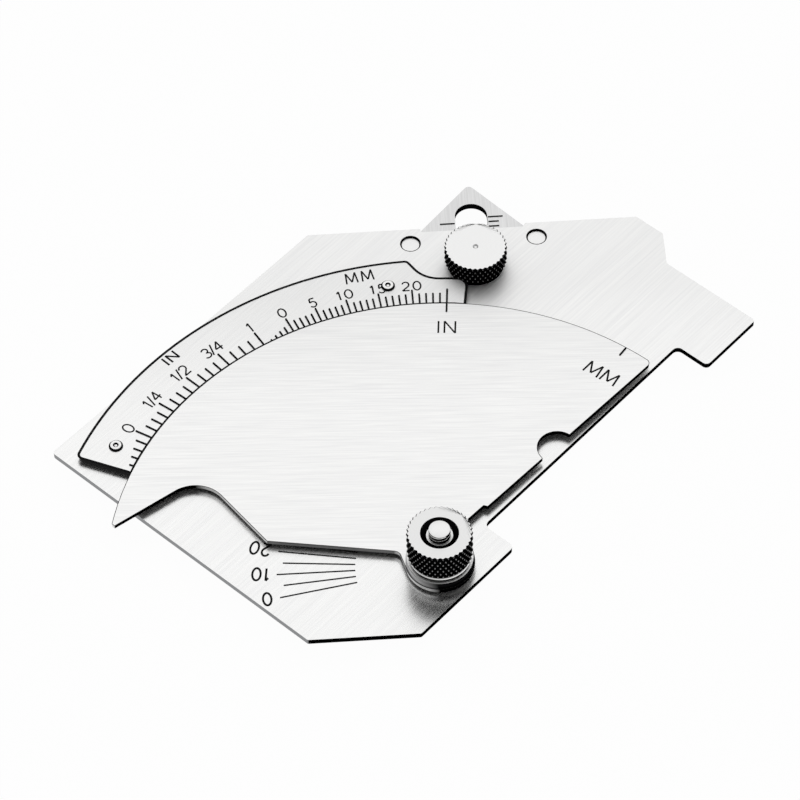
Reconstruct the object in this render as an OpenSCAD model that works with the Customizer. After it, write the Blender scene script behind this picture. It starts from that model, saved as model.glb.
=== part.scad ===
// Bridge weld gauge: a flat bridge plate that carries a raised arc scale, a cam that
// turns on a stud, and a throat slide that runs along the diagonal behind the plate.
// Knurled thumb nuts lock the cam and the slide.
// The gauge lies on its back: X runs along the feet, Y away from them, Z up through the cam.
// Outlines are drawn from the cam's pivot, with Z = 0 on the plate's upper face, and are then
// moved so that the origin is the middle of the whole gauge, level with its lowest point.

/* [Base plate] */
// Thickness of the base plate
plate_t = 1.0; // [0.8:0.1:1.5]
// Depth of the bridge between the feet
foot_h = 6.0; // [5.8:0.1:8]
// Distance from the pivot to the plate's left edge
plate_left = 22.9; // [22:0.1:24]
// Distance from the pivot up to the plate's top edge
plate_top = 59.1; // [59.1:0.1:62]
// Inner end of the left foot, from the pivot
left_foot_end = 10; // [9:0.1:11]
// Inner end of the right foot, from the pivot
right_foot_start = 56; // [54:0.1:58]
// Outer end of the right foot, from the pivot
right_foot_end = 68; // [66:0.1:70]
// Distance from the pivot to the upright edge of the throat tab
tab_x = 72.4; // [72:0.1:75]
// Distance from the pivot to the start of the slanted edge under the throat tab
tab_slant_y = 16.3; // [14:0.1:18]
// Width of the slanted edge at the plate's lower left, along each side
left_bevel = 11.9; // [10:0.1:13]
// Distance from the corner that the throat edges point at to the slanted throat edge
throat_cut = 26.4; // [25:0.1:28]
// Width of the shallow recess in that edge, where the slide comes out
recess_w = 16.6; // [15:0.1:16.8]
// Depth of that recess
recess_d = 0.7; // [0.65:0.05:0.9]

/* [Arc scale plate] */
// Thickness of the arc scale plate
arc_t = 1.0; // [0.8:0.1:1.2]
// Gap between the cam's arc edge and the arc scale plate
arc_gap = 0.2; // [0.1:0.05:0.4]
// Outer radius of the arc scale plate
arc_outer_r = 59.1; // [58:0.05:59.1]
// Outer radius of its narrow end beside the slide nut
arc_narrow_r = 55.3; // [55:0.1:55.8]
// Angle of its left end
arc_left_deg = 111.3; // [110:0.1:112]
// Angle of its right end
arc_right_deg = 36.9; // [36.9:0.1:38]
// Distance from the pivot to the line of the step down to the narrow end
arc_step = 31.4; // [31:0.05:31.8]
// Slant of that line
arc_step_slant = 11.4; // [9:0.1:13]
// Radius on which the rivets sit
rivet_pitch_r = 54.43; // [53.5:0.05:55]
// Angle of the left rivet
rivet_left_deg = 107.2; // [106:0.1:108]
// Angle of the right rivet
rivet_right_deg = 50.05; // [49:0.05:52]
// Radius of the rivets
rivet_r = 1.1; // [0.9:0.05:1.3]

/* [Cam] */
// Radius of the cam's arc edge
cam_r = 50; // [49.5:0.1:50]
// Thickness of the cam
cam_t = 0.7; // [0.6:0.05:0.9]
// Thickness of the spacer that holds the cam off the plate
spacer_t = 0.5; // [0.3:0.05:0.6]
// Distance from the pivot to the blunt tip of the hook, to the left
cam_tip = 27.2; // [27:0.1:27.6]
// Radius of the fillet at the root of the hook
hook_fillet_r = 5.2; // [4:0.1:6]
// Radius of the ear round the pivot
ear_r = 5.2; // [5.2:0.05:5.6]
// Distance from the pivot to the thumb notch in the lower edge
notch_x = 27.8; // [22:0.1:32]
// Radius of the thumb notch
notch_r = 3.1; // [2.5:0.1:3.5]

/* [Throat slide] */
// Thickness of the slide
slide_t = 1.15; // [1:0.05:1.3]
// Width of the slide
slide_w = 17; // [16.5:0.1:17.5]
// Length of the slide from its point to its square end
slide_len = 44; // [42:0.5:46]
// Throat reading at which the slide stands
throat_reading = 17.1; // [16:0.05:18]
// Angle of the slide's point
point_deg = 83; // [80:1:90]
// Radius that rounds the end of that point
point_r = 0.8; // [0.5:0.1:1]
// Width of the slot in the slide
slot_w = 5.2; // [5:0.1:5.6]
// Distance from the slide's point to the outer end of the slot
slot_from_point = 3.7; // [3.4:0.05:4]
// Distance from the throat corner to the slide stud
stud_from_corner = 34.35; // [34:0.05:35]
// Distance from the throat corner to the pair of guide pins
pins_from_corner = 29.4; // [29:0.1:30]
// Radius of the guide pins
pin_r = 1.55; // [1.3:0.05:1.7]

/* [Thumb nuts] */
// Radius over the peaks of the knurl
nut_r = 5.0; // [4.9:0.05:5.05]
// Radius of the plain collar under the pivot nut's knurl
pivot_collar_r = 4.65; // [4.4:0.05:4.8]
// Radius of the plain collar under the slide nut's knurl
slide_collar_r = 4.5; // [4.2:0.05:4.5]
// Number of knurl peaks round a nut
knurl_teeth = 38; // [30:1:44]
// Depth of the knurl
knurl_depth = 0.25; // [0.15:0.01:0.3]
// Height of the knurled part of the pivot nut
pivot_knurl_h = 4.7; // [4:0.1:5.5]
// Height of the knurled part of the slide nut
slide_knurl_h = 3.1; // [2.6:0.1:3.4]
// Radius of the countersink in the top of the pivot nut
sink_r = 2.9; // [2.4:0.1:3.2]
// Radius of the pivot stud's threaded end
thread_r = 1.6; // [1.4:0.05:1.8]

/* [Hidden] */
$fn = 96;

brushed = [0.88, 0.88, 0.89];
polished = [0.80, 0.80, 0.82];
turned = [0.72, 0.72, 0.74];

// Play between pieces that slide on each other, and round a turning or sliding shaft
face_play = 0.05;
shaft_play = 0.03;
// How far a cut runs past the face that it opens
past = 1;
// Small broken edges and corners
edge_break = 0.15;
corner_r = 0.5;
foot_corner_r = 0.8;
bridge_fillet_r = 1.0;
recess_corner_r = 0.3;

// Heights of the stack on the pivot, over the plate's upper face
spacer_r = 4.2;
cam_z = spacer_t + face_play;
cam_top = cam_z + cam_t;
shoulder_r = 2.5;
shoulder_top = cam_top + shaft_play;
washer_r = 5.15;
washer_t = 0.8;
spring_r = 5.0;
spring_t = 0.3;
spring_rise = 0.4;
pivot_nut_z = shoulder_top + washer_t + spring_rise + shaft_play;
pivot_collar_h = 1.2;
pivot_nut_top = pivot_nut_z + pivot_collar_h + pivot_knurl_h;
sink_floor_r = 2.0;
sink_depth = 0.56;
stud_proud = 1.15;
dome_h = 0.25;
pivot_shank_r = 2.0;
pivot_head_r = 4.0;
pivot_head_t = 1.2;

// The rivets' heads stand proud of the arc scale plate, and the guide pins lie below the plate's face
rivet_proud = 0.35;
rivet_bevel = 0.25;
pin_sink = 0.3;

// Heights of the slide and what holds it, behind the plate
slide_z = -plate_t - face_play - slide_t;
keeper_z = slide_z - face_play;
keeper_t = 0.5;
keeper_r = 2.4;
slide_stud_r = slot_w / 2 - face_play;
slide_head_r = 4.5;
slide_head_t = 0.8;
slide_shank_r = 1.9;
slide_thread_r = 1.5;
slide_collar_h = 1.15;
slide_nut_z = shaft_play;
slide_nut_top = slide_nut_z + slide_collar_h + slide_knurl_h;
slide_thread_top = 3.1;
slide_bore_top = 3.3;
dimple_r = 0.45;
dimple_depth = 0.2;

// Each row of the knurl is close to this height
knurl_row = 0.75;

// The throat corner, where the plate's top edge and the tab's upright edge would meet
throat_corner = [tab_x, plate_top];
diagonal_deg = 45;
throat_sum = tab_x + plate_top - throat_cut * sqrt(2);
pin_side = slide_w / 2 + face_play + pin_r;

// The slide travels until the slot's outer end meets the stud, and out to the throat corner
slot_outer = -throat_reading - slot_from_point - slot_w / 2;
slot_inner = -stud_from_corner - throat_reading;

// The whole gauge reaches from the cam's tip to the tab, and down to the slide stud's head
lowest = keeper_z - slide_head_t;
to_origin = [(cam_tip - tab_x) / 2, (foot_h - plate_top) / 2, -lowest];

// Corners of the cam: the hook's root and heel, and where the lower edge meets the ear's side
hook_root = [-11.7, 38.05];
hook_heel = [-14.2, 22.1];
hook_slope_deg = -12.3;
hook_tip = [-cam_tip, hook_root.y + (hook_root.x + cam_tip) * tan(-hook_slope_deg)];
ear_inner = [-2.64, 5.82];
ear_fillet_r = 1.2;

// The ear's side is straight and enters the round of the ear just inside the tangent
ear_side_r = ear_r - 0.03;
ear_side_deg = atan2(ear_inner.y, ear_inner.x) + acos(ear_side_r / norm(ear_inner));
ear_side = ear_side_r * [cos(ear_side_deg), sin(ear_side_deg)];

// Corners of the cam's lower edge, from the ear to its far end
step_inner = [4.6, 2.1];
step_outer = [12.1, 1.9];
edge_start = [12.4, 1.3];
edge_end = [cam_r + past, 0.28];
edge_corner_r = 0.9;
notch_y = 0.6;

function polar(r, deg) = r * [cos(deg), sin(deg)];
function unit(v) = v / norm(v);

// A corner of the recess in the throat edge: depth is 0 or 1, side is -1 or 1
function recess_corner(depth, side) =
    let (
        along = polar(-throat_cut - depth * recess_d, diagonal_deg),
        across = polar(side * recess_w / 2, diagonal_deg + 90),
        p = throat_corner + along + across
    )
    [p.x, p.y, recess_corner_r];

// An arc of radius r that rounds the corner p between a and b: where it starts, and its centre
function tangent_length(a, p, b, r) = r / tan(acos(unit(a - p) * unit(b - p)) / 2);
function corner_centre(a, p, b, r) =
    p + unit(unit(a - p) + unit(b - p)) * r / sin(acos(unit(a - p) * unit(b - p)) / 2);

// The points of that arc, for a small corner of an outline
function corner_arc(a, p, b, r, steps = 6) =
    let (
        c = corner_centre(a, p, b, r),
        length = tangent_length(a, p, b, r),
        from = p + unit(a - p) * length - c,
        to = p + unit(b - p) * length - c,
        start = atan2(from.y, from.x),
        turn = atan2(from.x * to.y - from.y * to.x, from * to)
    )
    [for (i = [0:steps]) c + polar(r, start + turn * i / steps)];

// An outline from corners of the form [x, y, radius]
function rounded_outline(corners) =
    let (n = len(corners), xy = [for (c = corners) [c.x, c.y]])
    [for (i = [0:n - 1]) each corner_arc(xy[(i + n - 1) % n], xy[i], xy[(i + 1) % n], corners[i].z)];

// The web that fills the inside of a bend up to the arc that rounds it
module fillet_web(a, p, b, r) {
    c = corner_centre(a, p, b, r);
    length = tangent_length(a, p, b, r);
    difference() {
        polygon([p, p + unit(a - p) * length, c, p + unit(b - p) * length]);
        translate(c) circle(r);
    }
}

// What a small round takes off the outside of a corner
module corner_cut(a, p, b, r) {
    outside = p - unit(unit(a - p) + unit(b - p)) * past;
    polygon(concat([outside], corner_arc(a, p, b, r)));
}

module in_place() {
    translate(to_origin) children();
}

// Moves to the throat corner, with X pointing out along the diagonal
module on_diagonal() {
    translate(throat_corner) rotate(diagonal_deg) children();
}

module disc(r, z, h) {
    translate([0, 0, z]) cylinder(r = r, h = h);
}

// A solid of revolution from [radius, height] corners
module turned_piece(profile) {
    rotate_extrude() polygon(profile);
}

module plate_outline() {
    polygon(rounded_outline([
        [left_bevel - plate_left, -foot_h, corner_r],
        [left_foot_end, -foot_h, foot_corner_r],
        [left_foot_end, 0, bridge_fillet_r],
        [right_foot_start, 0, bridge_fillet_r],
        [right_foot_start, -foot_h, foot_corner_r],
        [right_foot_end, -foot_h, corner_r],
        [right_foot_end, tab_slant_y - tab_x + right_foot_end, corner_r],
        [tab_x, tab_slant_y, corner_r],
        [tab_x, throat_sum - tab_x, corner_r],
        recess_corner(0, -1), recess_corner(1, -1), recess_corner(1, 1), recess_corner(0, 1),
        [throat_sum - plate_top, plate_top, corner_r],
        [-plate_left, plate_top, corner_r],
        [-plate_left, left_bevel - foot_h, corner_r]
    ]));
}

module base_plate() {
    color(brushed) in_place() difference() {
        translate([0, 0, -plate_t]) linear_extrude(plate_t) plate_outline();
        disc(pivot_shank_r, -plate_t - past, plate_t + 2 * past);
        for (deg = [rivet_left_deg, rivet_right_deg])
            translate(polar(rivet_pitch_r, deg)) disc(rivet_r, -plate_t - past, plate_t + 2 * past);
        on_diagonal() {
            for (side = [-1, 1])
                translate([-pins_from_corner, side * pin_side])
                    disc(pin_r, -plate_t - past, plate_t + 2 * past);
            translate([-stud_from_corner, 0]) disc(slide_shank_r, -plate_t - past, plate_t + 2 * past);
        }
    }
}

// What is cut away beside the narrow end: all that lies past the step's slanted line, down to the
// narrow end's arc, less the fillet that joins the two
module arc_step_cut() {
    step_fillet_r = 5.0;
    reach = 2 * arc_outer_r;
    fillet_x = arc_step + step_fillet_r;
    fillet_c = [fillet_x, sqrt(pow(arc_narrow_r + step_fillet_r, 2) - pow(fillet_x, 2))];
    rotate(-arc_step_slant) difference() {
        translate([arc_step, 0]) square(reach);
        circle(arc_narrow_r, $fn = 360);
        difference() {
            polygon([
                [arc_step - past, 0], [arc_step - past, fillet_c.y], fillet_c,
                unit(fillet_c) * (arc_narrow_r - past)
            ]);
            translate(fillet_c) circle(step_fillet_r);
        }
    }
}

// The arc scale plate: a ring sector that steps down to a narrow end, clear of the slide nut
module arc_outline() {
    step_corner_r = 0.8;
    end_corner_r = 1.6;
    left_corner_r = 0.8;
    reach = 2 * arc_outer_r;
    middle_deg = (arc_left_deg + arc_right_deg) / 2;
    step_deg = acos(arc_step / arc_outer_r) - arc_step_slant;
    step_out = polar(arc_outer_r, step_deg);
    left_out = polar(arc_outer_r, arc_left_deg);
    right_out = polar(arc_narrow_r, arc_right_deg);
    difference() {
        intersection() {
            circle(arc_outer_r, $fn = 360);
            polygon([
                [0, 0], polar(reach, arc_right_deg), polar(reach, middle_deg), polar(reach, arc_left_deg)
            ]);
        }
        circle(cam_r + arc_gap, $fn = 360);
        arc_step_cut();
        corner_cut(left_out + polar(past, arc_left_deg - 90), left_out, [0, 0], left_corner_r);
        corner_cut(
            step_out + polar(past, step_deg + 90), step_out,
            step_out + polar(past, -90 - arc_step_slant), step_corner_r
        );
        corner_cut(right_out + polar(past, arc_right_deg + 90), right_out, [0, 0], end_corner_r);
    }
}

module arc_scale_plate() {
    color(polished) in_place() difference() {
        linear_extrude(arc_t) arc_outline();
        for (deg = [rivet_left_deg, rivet_right_deg])
            translate(polar(rivet_pitch_r, deg)) disc(rivet_r, -past, arc_t + 2 * past);
    }
}

// A rivet through both plates, with a bevelled head and the drift's dimple in it
module arc_rivet(deg) {
    head_z = arc_t + rivet_proud;
    color(turned) in_place() translate(polar(rivet_pitch_r, deg)) difference() {
        turned_piece([
            [0, -plate_t], [rivet_r, -plate_t], [rivet_r, head_z - rivet_bevel],
            [rivet_r - rivet_bevel, head_z], [0, head_z]
        ]);
        translate([0, 0, head_z - dimple_depth])
            cylinder(r1 = dimple_r / 2, r2 = dimple_r, h = dimple_depth);
    }
}

// A guide pin, sunk a little in the plate's face, whose head behind keeps the slide against the plate
module guide_pin(side) {
    color(turned) in_place() on_diagonal() translate([-pins_from_corner, side * pin_side])
        turned_piece([
            [0, keeper_z - keeper_t], [keeper_r - edge_break, keeper_z - keeper_t],
            [keeper_r, keeper_z - keeper_t + edge_break], [keeper_r, keeper_z], [pin_r, keeper_z],
            [pin_r, -pin_sink - edge_break], [pin_r - edge_break, -pin_sink], [0, -pin_sink]
        ]);
}

// The stud riveted into the plate: its shoulder carries the cam and its domed end the nut
module pivot_stud() {
    top = pivot_nut_top + stud_proud;
    dome_r = (pow(thread_r, 2) + pow(dome_h, 2)) / (2 * dome_h);
    color(turned) in_place() intersection() {
        turned_piece([
            [0, -plate_t - pivot_head_t], [pivot_head_r - edge_break, -plate_t - pivot_head_t],
            [pivot_head_r, -plate_t - pivot_head_t + edge_break], [pivot_head_r, -plate_t],
            [pivot_shank_r, -plate_t], [pivot_shank_r, 0], [shoulder_r, 0], [shoulder_r, shoulder_top],
            [thread_r, shoulder_top], [thread_r, top], [0, top]
        ]);
        union() {
            disc(2 * pivot_head_r, -plate_t - pivot_head_t - past, top - dome_h + plate_t + pivot_head_t + past);
            translate([0, 0, top - dome_r]) sphere(dome_r);
        }
    }
}

// A flat ring round the stud's shoulder, on which the cam turns
module spacer() {
    color(turned) in_place() difference() {
        disc(spacer_r, 0, spacer_t);
        disc(shoulder_r, -past, spacer_t + 2 * past);
    }
}

// The cam: a sector with a measuring hook, a thumb notch and an ear round the pivot
module cam_outline() {
    difference() {
        union() {
            circle(ear_r);
            intersection() {
                circle(cam_r, $fn = 360);
                polygon([
                    step_inner, step_outer, edge_start, edge_end, [edge_end.x, cam_r + past],
                    [-cam_tip, cam_r + past], hook_tip, hook_root, hook_heel, ear_inner, ear_side
                ]);
            }
            fillet_web(hook_tip, hook_root, hook_heel, hook_fillet_r);
            fillet_web(hook_heel, ear_inner, ear_side, ear_fillet_r);
        }
        translate([notch_x, notch_y]) circle(notch_r);
        corner_cut([cam_r, cam_r], [cam_r, edge_end.y], edge_start, edge_corner_r);
    }
}

module cam() {
    color(polished) in_place() difference() {
        translate([0, 0, cam_z]) linear_extrude(cam_t) cam_outline();
        disc(shoulder_r + shaft_play, -past, cam_top + 2 * past);
    }
}

module pivot_washer() {
    color(polished) in_place() turned_piece([
        [thread_r + face_play, shoulder_top], [washer_r, shoulder_top],
        [washer_r, shoulder_top + washer_t - edge_break], [washer_r - edge_break, shoulder_top + washer_t],
        [thread_r + face_play, shoulder_top + washer_t]
    ]);
}

// A dished washer whose rim presses on the flat one and keeps the cam where it is set
module spring_washer() {
    z = shoulder_top + washer_t;
    color(turned) in_place() turned_piece([
        [spring_r, z], [spring_r, z + spring_t], [thread_r + face_play, z + spring_rise],
        [thread_r + face_play, z + spring_rise - spring_t]
    ]);
}

// The body of a thumb nut: a plain collar under a band of diamond knurl. Each ring of points is
// [height, radius of its peaks, radius of its valleys, column of its first peak]. Peaks and valleys
// take turns round a row and from row to row, and each cell folds along the line of its valleys.
module thumb_nut_body(z, collar_r, collar_h, knurl_h) {
    columns = 2 * knurl_teeth;
    band_h = knurl_h - 2 * edge_break;
    rows = round(band_h / knurl_row);
    valley_r = nut_r - knurl_depth;
    rings = concat(
        [[z, collar_r, collar_r, 0], [z + collar_h, collar_r, collar_r, 0]],
        [[z + collar_h, nut_r - edge_break, valley_r - edge_break, 0]],
        [for (i = [0:rows]) [z + collar_h + edge_break + band_h * i / rows, nut_r, valley_r, i % 2]],
        [[z + collar_h + knurl_h, nut_r - edge_break, valley_r - edge_break, rows % 2]]
    );
    last = len(rings) - 1;
    function is_peak(i, k) = (rings[i][3] + k) % 2 == 0;
    function at(i, k) = i * columns + k % columns;
    points = [
        for (i = [0:last], k = [0:columns - 1])
            let (xy = polar(rings[i][is_peak(i, k) ? 1 : 2], k * 360 / columns))
            [xy.x, xy.y, rings[i][0]]
    ];
    sides = [
        for (i = [0:last - 1], k = [0:columns - 1])
            each is_peak(i, k) ?
                [[at(i, k), at(i + 1, k), at(i, k + 1)],
                 [at(i, k + 1), at(i + 1, k), at(i + 1, k + 1)]] :
                [[at(i, k), at(i + 1, k + 1), at(i, k + 1)],
                 [at(i, k), at(i + 1, k), at(i + 1, k + 1)]]
    ];
    underside = [for (k = [0:columns - 1]) at(0, k)];
    topside = [for (k = [columns - 1:-1:0]) at(last, k)];
    polyhedron(points, concat(sides, [underside, topside]));
}

module pivot_nut() {
    color(polished) in_place() difference() {
        thumb_nut_body(pivot_nut_z, pivot_collar_r, pivot_collar_h, pivot_knurl_h);
        disc(thread_r + shaft_play, pivot_nut_z - past, pivot_nut_top + past);
        translate([0, 0, pivot_nut_top - sink_depth])
            cylinder(r1 = sink_floor_r, r2 = sink_r, h = sink_depth);
    }
}

// The slide: a strip with a rounded point, whose sides would meet at sharp, and a slot for the stud
module slide_outline() {
    point = -throat_reading;
    half = slide_w / 2;
    sharp = point + point_r * (1 / sin(point_deg / 2) - 1);
    shoulder = sharp - half / tan(point_deg / 2);
    difference() {
        polygon(rounded_outline([
            [sharp, 0, point_r], [shoulder, half, corner_r], [point - slide_len, half, corner_r],
            [point - slide_len, -half, corner_r], [shoulder, -half, corner_r]
        ]));
        translate([slot_inner, -slot_w / 2]) square([slot_outer - slot_inner, slot_w]);
        for (x = [slot_inner, slot_outer])
            translate([x, 0]) circle(slot_w / 2);
    }
}

module slide() {
    color(brushed) in_place() on_diagonal() translate([0, 0, slide_z])
        linear_extrude(slide_t) slide_outline();
}

// The stud that clamps the slide: its head lies behind, and its shoulder runs in the slot
module slide_stud() {
    color(turned) in_place() on_diagonal() translate([-stud_from_corner, 0])
        turned_piece([
            [0, lowest], [slide_head_r - edge_break, lowest], [slide_head_r, lowest + edge_break],
            [slide_head_r, keeper_z], [slide_stud_r, keeper_z], [slide_stud_r, -plate_t],
            [slide_shank_r, -plate_t], [slide_shank_r, 0], [slide_thread_r, 0],
            [slide_thread_r, slide_thread_top], [0, slide_thread_top]
        ]);
}

module slide_nut() {
    color(polished) in_place() on_diagonal() translate([-stud_from_corner, 0]) difference() {
        thumb_nut_body(slide_nut_z, slide_collar_r, slide_collar_h, slide_knurl_h);
        disc(slide_thread_r + shaft_play, slide_nut_z - past, slide_bore_top - slide_nut_z + past);
        translate([0, 0, slide_nut_top - dimple_depth])
            cylinder(r1 = dimple_r / 2, r2 = dimple_r, h = dimple_depth);
    }
}

base_plate();
arc_scale_plate();
arc_rivet(rivet_left_deg);  // arc_rivet_left
arc_rivet(rivet_right_deg);  // arc_rivet_right
guide_pin(1);  // guide_pin_upper
guide_pin(-1);  // guide_pin_lower
pivot_stud();
spacer();
cam();
pivot_washer();
spring_washer();
pivot_nut();
slide();
slide_stud();
slide_nut();
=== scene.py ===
# %% [markdown]
# # A bridge weld gauge: brushed steel, black marks and knurled nuts
#
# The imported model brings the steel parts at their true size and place. This lesson
# adds what a drawing leaves open: the finish of each part, the scales that are cut
# into the plates, the thread on the end of the stud, and a plain studio.

# %% Load the frame
import math

import bpy
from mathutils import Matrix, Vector


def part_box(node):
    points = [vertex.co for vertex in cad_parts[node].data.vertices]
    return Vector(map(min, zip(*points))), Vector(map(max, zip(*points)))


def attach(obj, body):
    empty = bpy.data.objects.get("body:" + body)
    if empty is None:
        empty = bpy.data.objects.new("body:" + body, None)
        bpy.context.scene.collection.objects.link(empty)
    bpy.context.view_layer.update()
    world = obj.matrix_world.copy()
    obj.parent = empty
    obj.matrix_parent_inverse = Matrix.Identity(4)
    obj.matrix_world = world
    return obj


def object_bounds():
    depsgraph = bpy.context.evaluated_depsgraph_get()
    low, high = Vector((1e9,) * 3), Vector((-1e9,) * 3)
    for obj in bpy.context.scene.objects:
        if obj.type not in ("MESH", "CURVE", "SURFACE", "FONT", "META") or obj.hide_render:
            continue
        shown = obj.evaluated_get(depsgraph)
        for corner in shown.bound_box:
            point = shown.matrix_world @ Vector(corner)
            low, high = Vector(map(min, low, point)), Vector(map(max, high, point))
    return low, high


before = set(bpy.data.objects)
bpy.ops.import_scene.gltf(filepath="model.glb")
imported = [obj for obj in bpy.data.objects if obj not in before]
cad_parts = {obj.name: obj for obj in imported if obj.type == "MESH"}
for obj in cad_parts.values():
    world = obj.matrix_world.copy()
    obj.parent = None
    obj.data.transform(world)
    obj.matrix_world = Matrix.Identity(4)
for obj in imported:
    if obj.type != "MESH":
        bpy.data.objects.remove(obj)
cad_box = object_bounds()
print("frame loaded:", len(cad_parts), "parts")

# %% [markdown]
# ## Places
#
# Places on the gauge are given in millimetres from the cam's pivot: u runs along the two
# feet, v runs up the plate, and MM turns them into Blender's metres. Heights come from
# the parts themselves, so that a mark stays on its face when the drawing changes.

# %% Places taken from the frame
MM = 0.001


def middle(node):
    low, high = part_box(node)
    return (low + high) / 2


def top_of(node):
    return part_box(node)[1].z


PIVOT = middle("pivot_stud")
SLIDE_STUD = middle("slide_stud")
PLATE_FACE = top_of("base_plate")
ARC_FACE = top_of("arc_scale_plate")
CAM_FACE = top_of("cam")
SLIDE_FACE = top_of("slide")


def spot(u, v, z=PLATE_FACE):
    """A place given in mm from the pivot, at height z in metres."""
    return Vector((PIVOT.x + u * MM, PIVOT.y + v * MM, z))


def ray(r, degrees, z=PLATE_FACE):
    """A place on the ray at that angle from u, r mm from the pivot."""
    turn = math.radians(degrees)
    return spot(r * math.cos(turn), r * math.sin(turn), z)


print("pivot", tuple(round(x, 5) for x in PIVOT), "plate face", round(PLATE_FACE, 5))

# %% [markdown]
# ## Camera
#
# The picture was taken with a long lens from about 60 cm, over the left foot, so
# that the throat of the plate points up and away. The camera aims at the spot on the
# plate that lies in the middle of the picture, and is turned a little about that line.

# %% Camera
# u and v in mm from the pivot, and the height above the plate's face
CAMERA_FROM_PIVOT = (-250.71, -227.72, 470.79)
AIM = (19.66, 25.58)
# Degrees about the line of sight, then the lens and the sensor's width in mm
ROLL = -1.81
LENS = 174.27
SENSOR = 36

camera_data = bpy.data.cameras.new("studio_camera")
camera = bpy.data.objects.new("studio_camera", camera_data)
bpy.context.scene.collection.objects.link(camera)
u, v, height = CAMERA_FROM_PIVOT
camera.location = spot(u, v, PLATE_FACE + height * MM)
sight = (spot(*AIM) - camera.location).to_track_quat("-Z", "Y")
camera.rotation_euler = sight.to_euler()
camera.rotation_euler.rotate_axis("Z", math.radians(ROLL))
camera_data.lens = LENS
camera_data.sensor_width = SENSOR
camera_data.dof.use_dof = False
bpy.context.scene.camera = camera
bpy.context.scene.view_settings.view_transform = "Standard"
print("camera", tuple(round(x, 4) for x in camera.location))

# %% [markdown]
# ## Nodes and colours
#
# One small function adds a node with its settings and links, and one turns the hex
# colour that a screen shows into the linear value that the renderer works with. A node's
# inputs go by name, or by number where names repeat: a colour mix takes its share in
# socket 0 and its two colours in 6 and 7, and gives the result at output 2.


# %% Helpers for materials
def linear(hex_code):
    """An sRGB hex colour as linear RGBA."""
    parts = [int(hex_code[i : i + 2], 16) / 255 for i in (1, 3, 5)]
    curve = [c / 12.92 if c <= 0.04045 else ((c + 0.055) / 1.055) ** 2.4 for c in parts]
    return (*curve, 1.0)


def add(tree, kind, inputs=None, **settings):
    """Adds a shader node. Inputs are values, or sockets of other nodes to link."""
    node = tree.nodes.new("ShaderNode" + kind)
    for name, value in settings.items():
        setattr(node, name, value)
    for name, value in (inputs or {}).items():
        if isinstance(value, bpy.types.NodeSocket):
            tree.links.new(value, node.inputs[name])
        else:
            node.inputs[name].default_value = value
    return node


def material(name):
    made = bpy.data.materials.new(name)
    made.use_nodes = True
    made.node_tree.nodes.clear()
    return made, made.node_tree


WHITE = "#FFFFFF"
print("white is", linear(WHITE))

# %% [markdown]
# ## Floor and light
#
# The gauge lies on a white sheet. Steel shows its surroundings more than its own colour,
# so a small lamp would leave a hot spot on the flat faces, which moves as one walks round
# the gauge. Instead the room itself is a wide soft field, brightest above and to the right,
# which the faces mirror to the camera, and one broad weak lamp at the far side evens out
# the tones. The rest of the room is less than half as bright; the walls are dark because
# their colour carries painted shade.
#
# The camera and the steel see the sheet as near white. For all other light it is matt
# paper, so it still takes the gauge's shadow.

# %% Floor
# The sheet's width in metres, the gap under the gauge, and the share of plain white in
# what the camera and the steel see of it
FLOOR_WIDTH = 12
FLOOR_GAP = 0.2 * MM
SEEN_SHARE = 0.95

bpy.ops.object.select_all(action="DESELECT")
bpy.ops.mesh.primitive_plane_add(size=FLOOR_WIDTH, location=(0, 0, cad_box[0][2] - FLOOR_GAP))
floor = bpy.context.object
floor.name = "floor"
paper, tree = material("white_paper")
path = add(tree, "LightPath")
seen = path.outputs["Is Camera Ray"]
for other in ("Is Glossy Ray", "Is Transmission Ray"):
    seen = add(tree, "Math", {0: seen, 1: path.outputs[other]}, operation="MAXIMUM").outputs[0]
share = add(tree, "Math", {0: seen, 1: SEEN_SHARE}, operation="MULTIPLY")
matt = add(tree, "BsdfDiffuse", {"Color": linear(WHITE)})
glow = add(tree, "Emission", {"Color": linear(WHITE), "Strength": 1.0})
both = add(tree, "MixShader", {0: share.outputs[0], 1: matt.outputs[0], 2: glow.outputs[0]})
add(tree, "OutputMaterial", {"Surface": both.outputs[0]})
floor.data.materials.append(paper)
print("floor at", round(floor.location.z, 5))

# %% Room light
FIELD = Vector((0.60, 0.20, 0.80)).normalized()
FIELD_EDGE = 0.2
ROOM_DIM, ROOM_BRIGHT = 0.45, 1.07

world = bpy.data.worlds.new("studio_room")
bpy.context.scene.world = world
world.use_nodes = True
tree = world.node_tree
tree.nodes.clear()
way = add(tree, "TexCoord")
toward = add(tree, "VectorMath", {0: way.outputs["Generated"], 1: tuple(FIELD)}, operation="DOT_PRODUCT")
fade = {"From Min": FIELD_EDGE, "From Max": 1.0, "To Min": ROOM_DIM, "To Max": ROOM_BRIGHT}
level = add(tree, "MapRange", {"Value": toward.outputs["Value"], **fade}, interpolation_type="SMOOTHSTEP")
room = add(tree, "Background", {"Color": linear(WHITE), "Strength": level.outputs[0]})
add(tree, "OutputWorld", {"Surface": room.outputs[0]})
print("room field toward", tuple(round(x, 2) for x in FIELD))

# %% Lamp
# u and v in mm from the pivot and the height over the frame's zero; the width is in metres
LAMP_PLACE = (-250, 960, 700)
LAMP_WIDTH = 1.8
LAMP_WATTS = 1.0

lamp_data = bpy.data.lights.new("far_lamp", "AREA")
lamp_data.shape = "DISK"
lamp_data.size = LAMP_WIDTH
lamp_data.energy = LAMP_WATTS
lamp = bpy.data.objects.new("far_lamp", lamp_data)
bpy.context.scene.collection.objects.link(lamp)
u, v, height = LAMP_PLACE
lamp.location = spot(u, v, height * MM)
lamp.rotation_euler = (spot(*AIM) - lamp.location).to_track_quat("-Z", "Y").to_euler()
print("lamp of", LAMP_WATTS, "W")
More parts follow.
